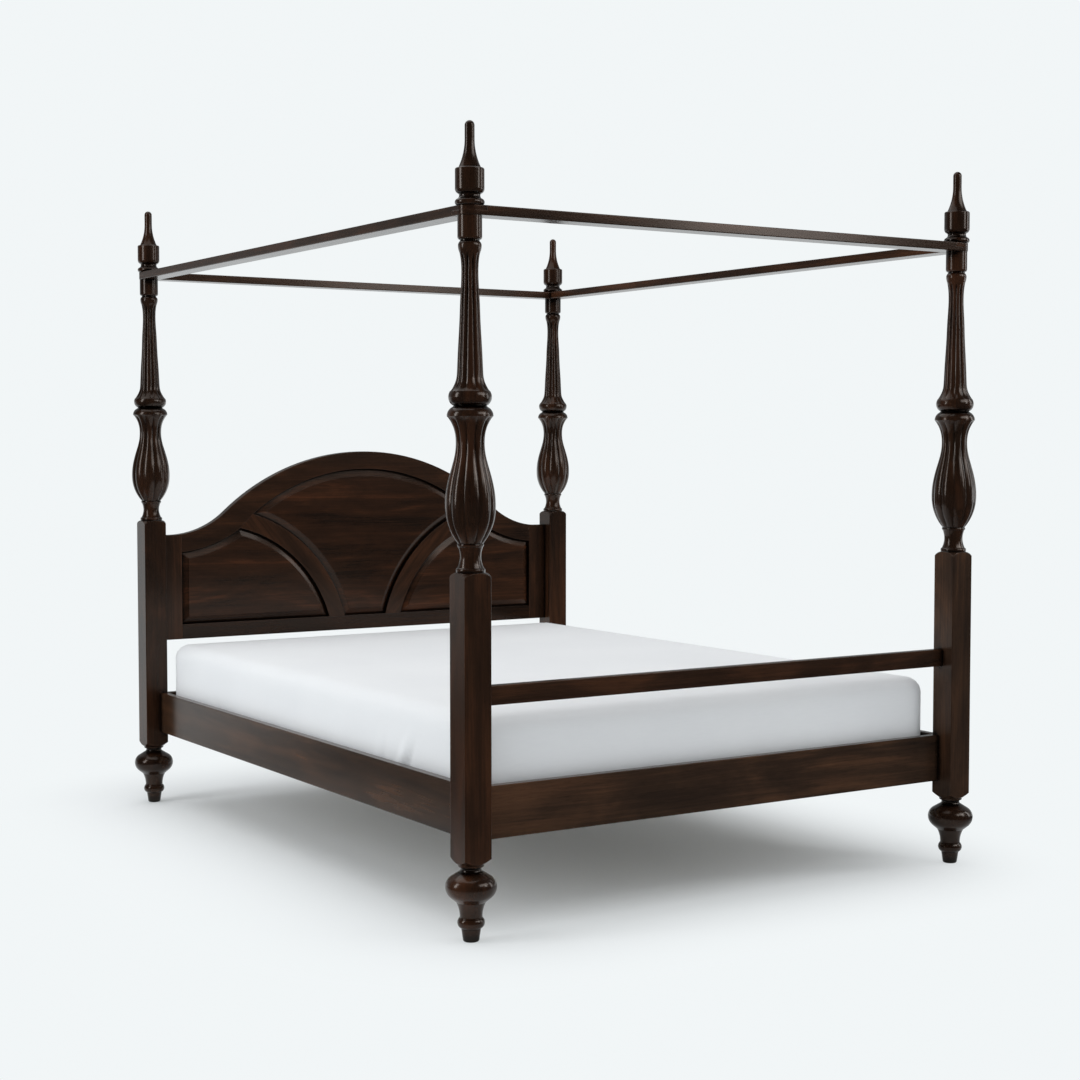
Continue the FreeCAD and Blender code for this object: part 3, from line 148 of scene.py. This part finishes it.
# Deck wood and steel
DECK_RINGS = (0.9, 24.0)
DECK_RING_NOISE = {"detail": 6.0, "roughness": 0.55, "distortion": 0.5}
DECK_FINE = (8.0, 260.0)
DECK_FINE_DETAIL = 2.0
DECK_SHARES = (0.8, 0.2)
DECK_STOPS = ((0.36, (0.30, 0.24, 0.17)), (0.5, (0.42, 0.35, 0.26)), (0.66, (0.50, 0.43, 0.34)))
DECK_BUMP = {"Strength": 0.2, "Distance": 0.0005}
DECK_ROUGH = 0.62
STEEL_STAIN = {"scale": 40.0, "detail": 5.0, "roughness": 0.6}
STEEL_STOPS = ((0.35, (0.42, 0.43, 0.44)), (0.65, (0.60, 0.60, 0.58)))
STEEL_ROUGH_LEAST = 0.22
STEEL_ROUGH_RANGE = 0.25

# Sheet: cotton
THREADS = {"Scale": 260.0, "Distortion": 0.6, "Detail": 1.0}
THREAD_SHARES = {"X": 0.25, "Y": 0.25, "Z": 0.5}
SLUB_SCALE = (30.0, 220.0, 220.0)
SLUB_DETAIL = 2.0
SHADE_NOISE = {"scale": 2.4, "detail": 3.0}
COTTON_SHARES = (0.3, 0.7)
COTTON_STOPS = ((0.3, (0.80, 0.815, 0.83)), (0.7, (0.84, 0.855, 0.865)))
COTTON_BUMP = {"Strength": 0.12, "Distance": 0.0003}
COTTON_FINISH = {"Roughness": 0.85, "Specular IOR Level": 0.2, "Sheen Weight": 0.12, "Sheen Roughness": 0.5}

# Mattress before and while it swells
SHEET_CELL = 0.028
EDGE_ROUND = 0.046
TOP_DROP = 0.008
HELD_HEIGHT = 0.03
CLOTH_STEPS = 20
CLOTH = {
    "tension_stiffness": 40.0,
    "compression_stiffness": 40.0,
    "shear_stiffness": 8.0,
    "bending_stiffness": 2.0,
    "use_pressure": True,
    "uniform_pressure_force": 0.06,
}
SWELL_CAP = 0.008

# Sheet: ripples and folds on the mattress's sides
UPRIGHT_LIMIT = 0.9
PULLED_IN = 0.001
RIPPLE_SCALE = Vector((9.0, 9.0, 2.2))
RIPPLE_HEIGHT = 0.0012
TUCK_LEVELS = (0.34, 0.50)
TUCK_SCALE = 21.0
TUCK_SLANT = 7.0
TUCK_LAYER = 3.7
TUCK_HEIGHT = 0.0012
LONG_SIDE = 0.74
SIDE_FOLDS = (
    # place along the bed and height at the top, the same at the foot, half width, how far it stands out
    (-0.700, 0.490, -0.622, 0.372, 0.019, 0.0084),
    (-0.590, 0.470, -0.560, 0.380, 0.018, 0.0020),
    (-0.518, 0.475, -0.496, 0.380, 0.015, 0.0036),
    (0.700, 0.450, 0.655, 0.375, 0.020, 0.0016),
)
RIDGE_GROWS = (0.0, 0.8)
DIP_GROWS = (0.2, 1.0)
DIP_ASIDE = 1.6
DIP_SHARE = 0.9


def link(obj):
    bpy.context.scene.collection.objects.link(obj)
    return obj


def opaque(colour):
    return (*colour, 1.0)


class Nodes:
    """Short way to write a node tree."""

    MIX_FACTOR, MIX_A, MIX_B, MIX_RESULT = 0, 6, 7, 2

    def __init__(self, tree):
        self.tree = tree
        tree.nodes.clear()

    def add(self, kind, inputs=None, **settings):
        node = self.tree.nodes.new(kind)
        for name, value in settings.items():
            setattr(node, name, value)
        for key, value in (inputs or {}).items():
            self.feed(node.inputs[key], value)
        return node

    def feed(self, socket, value):
        """Links a socket to another, or sets its own value."""
        if isinstance(value, bpy.types.NodeSocket):
            self.tree.links.new(value, socket)
        else:
            socket.default_value = value

    def place(self):
        return self.add("ShaderNodeTexCoord").outputs["Object"]

    def math(self, operation, a, b, clamp=False):
        return self.add("ShaderNodeMath", {0: a, 1: b}, operation=operation, use_clamp=clamp).outputs[0]

    def vector(self, operation, a, b=(0.0, 0.0, 0.0), output="Vector"):
        return self.add("ShaderNodeVectorMath", {0: a, 1: b}, operation=operation).outputs[output]

    def mix(self, factor, a, b, blend="MIX"):
        inputs = {self.MIX_FACTOR: factor, self.MIX_A: a, self.MIX_B: b}
        node = self.add("ShaderNodeMix", inputs, data_type="RGBA", blend_type=blend)
        return node.outputs[self.MIX_RESULT]

    def ramp(self, factor, stops):
        node = self.add("ShaderNodeValToRGB", {"Fac": factor})
        points = node.color_ramp.elements
        while len(points) < len(stops):
            points.new(0.5)
        for point, (place, colour) in zip(points, stops):
            point.position = place
            point.color = opaque(colour)
        return node.outputs["Color"]

    def grey_ramp(self, factor, stops):
        return self.ramp(factor, [(place, (grey, grey, grey)) for place, grey in stops])

    def noise(self, vector, detail, roughness=0.5, distortion=0.0, scale=1.0):
        inputs = {"Vector": vector, "Scale": scale, "Detail": detail}
        inputs.update({"Roughness": roughness, "Distortion": distortion})
        return self.add("ShaderNodeTexNoise", inputs).outputs["Fac"]

    def stretched(self, vector, scale):
        return self.add("ShaderNodeMapping", {"Vector": vector, "Scale": scale}).outputs[0]

    def swayed(self, vector, pattern, reach):
        """A place moved to and fro by a slow noise."""
        slow = {"Vector": pattern, "Scale": 1.0, "Detail": 2.0}
        drift = self.add("ShaderNodeTexNoise", slow).outputs["Color"]
        even = self.vector("SUBTRACT", drift, (0.5, 0.5, 0.5))
        moved = self.add("ShaderNodeVectorMath", {0: even, "Scale": reach}, operation="SCALE").outputs[0]
        return self.vector("ADD", vector, moved)

    def blend(self, *shares):
        """Sum of values, each times its share."""
        total = 0.0
        for value, share in shares:
            inputs = {0: value, 1: share, 2: total}
            total = self.add("ShaderNodeMath", inputs, operation="MULTIPLY_ADD").outputs[0]
        return total

    def spread(self, value, low, high, to_low, to_high, easing="LINEAR"):
        """A value's range from low to high, laid over another range."""
        inputs = {"Value": value, "From Min": low, "From Max": high, "To Min": to_low, "To Max": to_high}
        return self.add("ShaderNodeMapRange", inputs, interpolation_type=easing).outputs[0]

    def bump(self, inputs):
        return self.add("ShaderNodeBump", inputs).outputs[0]

    def glow(self, kind, colour, strength):
        return self.add(kind, {"Color": opaque(colour), "Strength": strength}).outputs[0]

    def choose(self, factor, a, b):
        return self.add("ShaderNodeMixShader", {0: factor, 1: a, 2: b}).outputs[0]

    def surface(self, inputs):
        """Ends a material in one shader; plain values go straight onto its sockets."""
        shader = self.add("ShaderNodeBsdfPrincipled", inputs)
        self.add("ShaderNodeOutputMaterial", {"Surface": shader.outputs[0]})


def new_material(name):
    material = bpy.data.materials.new(name)
    material.use_nodes = True
    return material, Nodes(material.node_tree)


def along(axis, lengthwise, crosswise):
    """Scale of a pattern that runs along one axis."""
    return tuple(lengthwise if k == axis else crosswise for k in range(3))


def wood(name, axis, tones, seed, finish, tilt=0.0):
    """Stained, lacquered wood: figure and pores along one axis, painted shade in recesses, edges lightened
    by rubbed wear and a painted highlight.
    """
    material, n = new_material(name)
    offset = [(seed * step) % span for step, span in BOARD_STEPS]
    cut = {"Vector": n.place(), "Location": offset, "Rotation": (0.0, tilt, 0.0)}
    board = n.add("ShaderNodeMapping", cut).outputs[0]
    bent = n.swayed(board, n.stretched(board, along(axis, *SWAY_SCALE)), SWAY_REACH)
    figure = {}
    for key, (lengthwise, crosswise, *character) in FIGURE.items():
        figure[key] = n.noise(n.stretched(bent, along(axis, lengthwise, crosswise)), *character)
    tone = n.blend(*((figure[key], share) for key, share in FIGURE_SHARES.items()))
    pores = n.noise(n.stretched(board, along(axis, *PORE_SCALE)), PORE_DETAIL)
    colour = n.ramp(tone, list(zip(TONE_STOPS, tones)))
    colour = n.mix(1.0, colour, n.grey_ramp(pores, PORE_STOPS), "MULTIPLY")

    eased = n.add("ShaderNodeBevel", {"Radius": finish["eased"]}, samples=BEVEL_SAMPLES).outputs[0]
    facing = n.add("ShaderNodeNewGeometry").outputs["Normal"]
    agree = n.vector("DOT_PRODUCT", eased, facing, "Value")
    around = {"Distance": finish["reach"]}
    open_air = n.add("ShaderNodeAmbientOcclusion", around, samples=RECESS_SAMPLES).outputs["AO"]
    # Lighter colour on convex edges away from recesses: rubbed wear and a painted highlight
    edge_wear_and_highlight = n.spread(agree, *EDGE_TURN, 0.0, EDGE_WEAR_AND_HIGHLIGHT)
    standing_out = n.spread(open_air, *EDGE_AIR, 0.0, 1.0)
    worn_edge_and_highlight = opaque(EDGE_WEAR_AND_HIGHLIGHT_LIFT * part for part in tones[-1])
    colour = n.mix(n.math("MULTIPLY", edge_wear_and_highlight, standing_out), colour, worn_edge_and_highlight)
    # Painted shade: colour darkened where occlusion is high, in recesses, creases and grooves
    painted_recess_shade = ((finish["painted_recess_shade"], PAINTED_RECESS_SHADE_DARKEST), (PAINTED_RECESS_SHADE_END, 1.0))
    colour = n.mix(1.0, colour, n.grey_ramp(open_air, painted_recess_shade), "MULTIPLY")

    streaks = n.blend((figure["grain"], 0.5), (figure["clouds"], 0.5))
    n.surface({
        "Base Color": colour,
        "Roughness": n.math("ADD", n.math("MULTIPLY", streaks, ROUGH_RANGE), ROUGH_LEAST),
        "Normal": n.bump({**GRAIN_BUMP, "Height": figure["grain"], "Normal": eased}),
        "Coat Normal": eased,
        "Coat Weight": finish["coat"],
        **LACQUER,
    })
    return material


def plain_wood(name, axis):
    """Planed, unfinished pale wood of the deck."""
    material, n = new_material(name)
    place = n.place()
    rings = n.noise(n.stretched(place, along(axis, *DECK_RINGS)), **DECK_RING_NOISE)
    fine = n.noise(n.stretched(place, along(axis, *DECK_FINE)), DECK_FINE_DETAIL)
    colour = n.ramp(n.blend(*zip((rings, fine), DECK_SHARES)), DECK_STOPS)
    planed = n.bump({**DECK_BUMP, "Height": fine})
    n.surface({"Base Color": colour, "Roughness": DECK_ROUGH, "Normal": planed})
    return material


def plated_steel(name):
    """Plated steel of the fittings, faintly stained."""
    material, n = new_material(name)
    stain = n.noise(n.place(), **STEEL_STAIN)
    rough = n.math("ADD", n.math("MULTIPLY", stain, STEEL_ROUGH_RANGE), STEEL_ROUGH_LEAST)
    n.surface({"Base Color": n.ramp(stain, STEEL_STOPS), "Roughness": rough, "Metallic": 1.0})
    return material


def cotton(name):
    """White sheet: fine plain weave, faint slubs and soft sheen."""
    material, n = new_material(name)
    place = n.place()
    threads = []
    for direction, share in THREAD_SHARES.items():
        wave = n.add("ShaderNodeTexWave", {"Vector": place, **THREADS}, bands_direction=direction)
        threads.append((wave.outputs["Fac"], share))
    slubs = n.noise(n.stretched(place, SLUB_SCALE), SLUB_DETAIL)
    shade = n.noise(place, **SHADE_NOISE)
    colour = n.ramp(n.blend(*zip((slubs, shade), COTTON_SHARES)), COTTON_STOPS)
    weave = n.bump({**COTTON_BUMP, "Height": n.blend(*threads)})
    n.surface({"Base Color": colour, "Normal": weave, **COTTON_FINISH})
    return material


# Studio


def seen_directly(n, path):
    """One for rays that show a surface to the camera, straight or through glass."""
    return n.math("ADD", path["Is Camera Ray"], path["Is Transmission Ray"], clamp=True)


def studio_side(n, direction):
    """How bright the studio looks in gloss: dim on the near side and higher up, full low on the far side."""
    ahead = n.vector("DOT_PRODUCT", direction, FAR_SIDE, "Value")
    rise = n.add("ShaderNodeSeparateXYZ", {0: direction}).outputs["Z"]
    by_side = n.spread(ahead, *STUDIO_TURN, STUDIO_DARK, 1.0)
    by_height = n.spread(rise, *STUDIO_RISE, 1.0, STUDIO_TOP)
    return n.math("MULTIPLY", by_side, by_height)


def make_world():
    """Pale backdrop all round, dimmer in gloss towards the near side of the studio."""
    world = bpy.data.worlds.new("studio")
    bpy.context.scene.world = world
    world.use_nodes = True
    n = Nodes(world.node_tree)
    path = n.add("ShaderNodeLightPath").outputs
    ray = n.add("ShaderNodeTexCoord").outputs["Generated"]
    mirror = n.glow("ShaderNodeBackground", BACKDROP, studio_side(n, ray))
    shown = n.glow("ShaderNodeBackground", BACKDROP, 1.0)
    lit = n.glow("ShaderNodeBackground", COOL_WHITE, AMBIENT)
    unseen = n.choose(path["Is Glossy Ray"], lit, mirror)
    n.add("ShaderNodeOutputWorld", {"Surface": n.choose(seen_directly(n, path), unseen, shown)})


def make_floor():
    """Pale floor that takes the bed's shadow near it and goes over into the backdrop further out; in gloss
    it glows further out, dimmer towards the near side, a painted reflection.
    """
    bm = bmesh.new()
    bmesh.ops.create_grid(bm, x_segments=FLOOR_CELLS, y_segments=FLOOR_CELLS, size=FLOOR_HALF)
    mesh = bpy.data.meshes.new("floor")
    bm.to_mesh(mesh)
    bm.free()
    floor = link(bpy.data.objects.new("floor", mesh))
    material, n = new_material("floor")
    place = n.place()
    path = n.add("ShaderNodeLightPath").outputs
    off = n.vector("ABSOLUTE", n.vector("SUBTRACT", place, SHADOW_MIDDLE))
    outside = n.vector("MAXIMUM", n.vector("SUBTRACT", off, SHADOW_REACH))
    far = n.vector("LENGTH", outside, output="Value")
    fade = n.spread(far, *SHADOW_FADE, 0.0, 1.0, "SMOOTHSTEP")
    mirror_fade = n.spread(far, *MIRROR_FADE, 0.0, 1.0, "SMOOTHSTEP")
    matt = n.add("ShaderNodeBsdfDiffuse", {"Color": opaque(FLOOR_COLOUR)}).outputs[0]
    shown = n.glow("ShaderNodeEmission", BACKDROP, 1.0)
    # Painted reflection: to glossy rays the floor further out is a glow, dimmer towards the near side, not
    # the lit floor
    mirror = n.glow("ShaderNodeEmission", BACKDROP, studio_side(n, n.vector("NORMALIZE", place)))
    near = n.choose(n.math("MULTIPLY", fade, seen_directly(n, path)), matt, shown)
    in_gloss = n.math("MULTIPLY", mirror_fade, path["Is Glossy Ray"])
    n.add("ShaderNodeOutputMaterial", {"Surface": n.choose(in_gloss, near, mirror)})
    mesh.materials.append(material)


def make_lamps():
    """Soft boxes around the bed; the card in front only shows as gloss in the lacquer."""
    for name, (place, target, width, height, power, colour) in LAMPS.items():
        data = bpy.data.lights.new(name, "AREA")
        data.shape = "RECTANGLE"
        data.size = width
        data.size_y = height
        data.energy = power
        data.color = colour
        lamp = link(bpy.data.objects.new(name, data))
        lamp.location = place
        lamp.rotation_euler = (Vector(target) - Vector(place)).to_track_quat("-Z", "Y").to_euler()
        lamp.visible_camera = False
        lamp.visible_diffuse = name not in GLOSS_ONLY


def make_camera():
    data = bpy.data.cameras.new("camera")
    data.sensor_width = SENSOR
    data.sensor_fit = "HORIZONTAL"
    data.lens = CAMERA_LENS
    camera = link(bpy.data.objects.new("camera", data))
    camera.location = CAMERA_PLACE
    camera.rotation_euler = (math.pi / 2 + CAMERA_PITCH, 0.0, -CAMERA_YAW)
    bpy.context.scene.camera = camera


# Carried-over solids


def grain_axis(name):
    """Direction in which a piece's grain runs."""
    if name.endswith(("side_rail", "ledger", "bearer")) or name in ("left_canopy_rail", "right_canopy_rail"):
        return Y_AXIS
    if name.endswith(("stile", "mullion", "dowels", "leg")):
        return Z_AXIS
    return X_AXIS


def with_painted_light(tones, name):
    """Tones of one board, times its factors of painted light and shade."""
    painted_factors = BOARD_PAINTED_LIGHT.get(name, NO_PAINTED_LIGHT)
    return [tuple(shade * part for shade, part in zip(painted_factors, tone)) for tone in tones]


def dress_solids():
    """Gives every rigid solid its finish; each board of show wood is cut from its own place in the grain."""
    deck_woods = [plain_wood(f"deck_wood_{letter}", axis) for axis, letter in enumerate("xyz")]
    steel = plated_steel("plated_steel")
    slots = {part["node"]: part["material_slot"] for part in frame["record"]["subparts"]}
    for seed, (name, obj) in enumerate(sorted(frame["nodes"].items())):
        slot = slots[name]
        if name.endswith(TURNED_PIECES):
            material = wood(name, Z_AXIS, TURNED_TONES, seed, TURNED_FINISH)
        elif slot == "dark_wood":
            # Frame tones carry the board's painted light and shade
            tones = with_painted_light(FRAME_TONES, name)
            tilt = MULLION_TILTS.get(name, 0.0)
            material = wood(name, grain_axis(name), tones, seed, BOARD_FINISH, tilt)
        elif slot == "panel_wood":
            material = wood(name, X_AXIS, with_painted_light(PANEL_TONES, name), seed, BOARD_FINISH)
        elif slot == "inner_wood":
            material = deck_woods[grain_axis(name)]
        elif slot == "steel":
            material = steel
        else:
            continue
        obj.data.materials.clear()
        obj.data.materials.append(material)


# Mattress in its fitted sheet


def smooth(low, high, value):
    t = min(1.0, max(0.0, (value - low) / (high - low)))
    return t * t * (3 - 2 * t)


def fold_height(along_bed, level, fold):
    """A slanting fold, which stands out on one side and dips beside it, and dies away upwards."""
    top_place, top, foot_place, foot, width, height = fold
    down = (top - level) / (top - foot)
    if down <= 0:
        return 0.0
    off = (along_bed - top_place - (foot_place - top_place) * down) / width
    ridge = smooth(*RIDGE_GROWS, down) * math.exp(-off ** 2)
    dip = smooth(*DIP_GROWS, down) * math.exp(-(off + DIP_ASIDE) ** 2)
    return height * (ridge - DIP_SHARE * dip)


def sheet_ripple(point):
    """How far the sheet stands in or out at a point of the mattress's sides."""
    ripple = noise.noise(point * RIPPLE_SCALE) * RIPPLE_HEIGHT
    slant = point.z * TUCK_SLANT
    run = Vector((point.x * TUCK_SCALE + slant, point.y * TUCK_SCALE + slant, TUCK_LAYER))
    tucks = noise.noise(run) * TUCK_HEIGHT * (1.0 - smooth(*TUCK_LEVELS, point.z))
    if abs(point.x) <= LONG_SIDE:
        return ripple + tucks
    return ripple + tucks + sum(fold_height(point.y, point.z, fold) for fold in SIDE_FOLDS)


def filled_box(low, high):
    """Closed mesh of the mattress before it swells: a box with rounded edges, in even cells."""
    half = (high - low - Vector((0.0, 0.0, TOP_DROP))) / 2
    inner = [reach - EDGE_ROUND for reach in half]
    bm = bmesh.new()
    bmesh.ops.create_cube(bm, size=2.0)
    for axis in range(3):
        lengthwise = [edge for edge in bm.edges if abs((edge.verts[0].co - edge.verts[1].co)[axis]) > TINY]
        cells = round(2 * half[axis] / SHEET_CELL)
        bmesh.ops.subdivide_edges(bm, edges=lengthwise, cuts=cells - 1, use_grid_fill=True)
    for vert in bm.verts:
        raw = vert.co * half
        kept = Vector([min(reach, max(-reach, value)) for reach, value in zip(inner, raw)])
        vert.co = low + half + kept + (raw - kept).normalized() * EDGE_ROUND
    mesh = bpy.data.meshes.new("mattress_in_sheet")
    bm.to_mesh(mesh)
    bm.free()
    return mesh


def swell_under_pressure(piece):
    """Cloth held at the underside and blown up a little by the filling, each point's way softly capped."""
    starts = [vert.co.copy() for vert in piece.data.vertices]
    held_below = min(start.z for start in starts) + HELD_HEIGHT
    underside = piece.vertex_groups.new(name="underside")
    underside.add([k for k, start in enumerate(starts) if start.z < held_below], 1.0, "REPLACE")
    cloth = piece.modifiers.new("cloth", "CLOTH")
    cloth.collision_settings.use_collision = False
    for key, value in CLOTH.items():
        setattr(cloth.settings, key, value)
    cloth.settings.vertex_group_mass = underside.name
    cloth.settings.effector_weights.gravity = 0.0
    scene = bpy.context.scene
    for step in range(1, CLOTH_STEPS + 1):
        scene.frame_set(step)
    swollen = piece.evaluated_get(bpy.context.evaluated_depsgraph_get()).data
    ways = [end.co - start for start, end in zip(starts, swollen.vertices)]
    piece.modifiers.remove(cloth)
    piece.vertex_groups.remove(underside)
    scene.frame_set(1)
    for vert, start, way in zip(piece.data.vertices, starts, ways):
        vert.co = start + way.normalized() * SWELL_CAP * math.tanh(way.length / SWELL_CAP)


def make_mattress():
    """Padded piece that stands for the mattress's solid, with the sheet's ripples and folds on its sides."""
    mesh = filled_box(*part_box("mattress"))
    piece = link(bpy.data.objects.new("mattress_in_sheet", mesh))
    swell_under_pressure(piece)
    bm = bmesh.new()
    bm.from_mesh(mesh)
    bmesh.ops.subdivide_edges(bm, edges=bm.edges, cuts=1, smooth=1.0, use_grid_fill=True)
    bm.normal_update()
    for vert in bm.verts:
        if abs(vert.normal.z) < UPRIGHT_LIMIT:
            vert.co += vert.normal * (sheet_ripple(vert.co) - PULLED_IN)
    bm.to_mesh(mesh)
    bm.free()
    for polygon in mesh.polygons:
        polygon.use_smooth = True
    mesh.materials.append(cotton("white_cotton"))
    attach(piece, "mattress")
    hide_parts("mattress")


bpy.context.scene.view_settings.view_transform = "Standard"
make_world()
make_floor()
make_lamps()
make_camera()
dress_solids()
make_mattress()
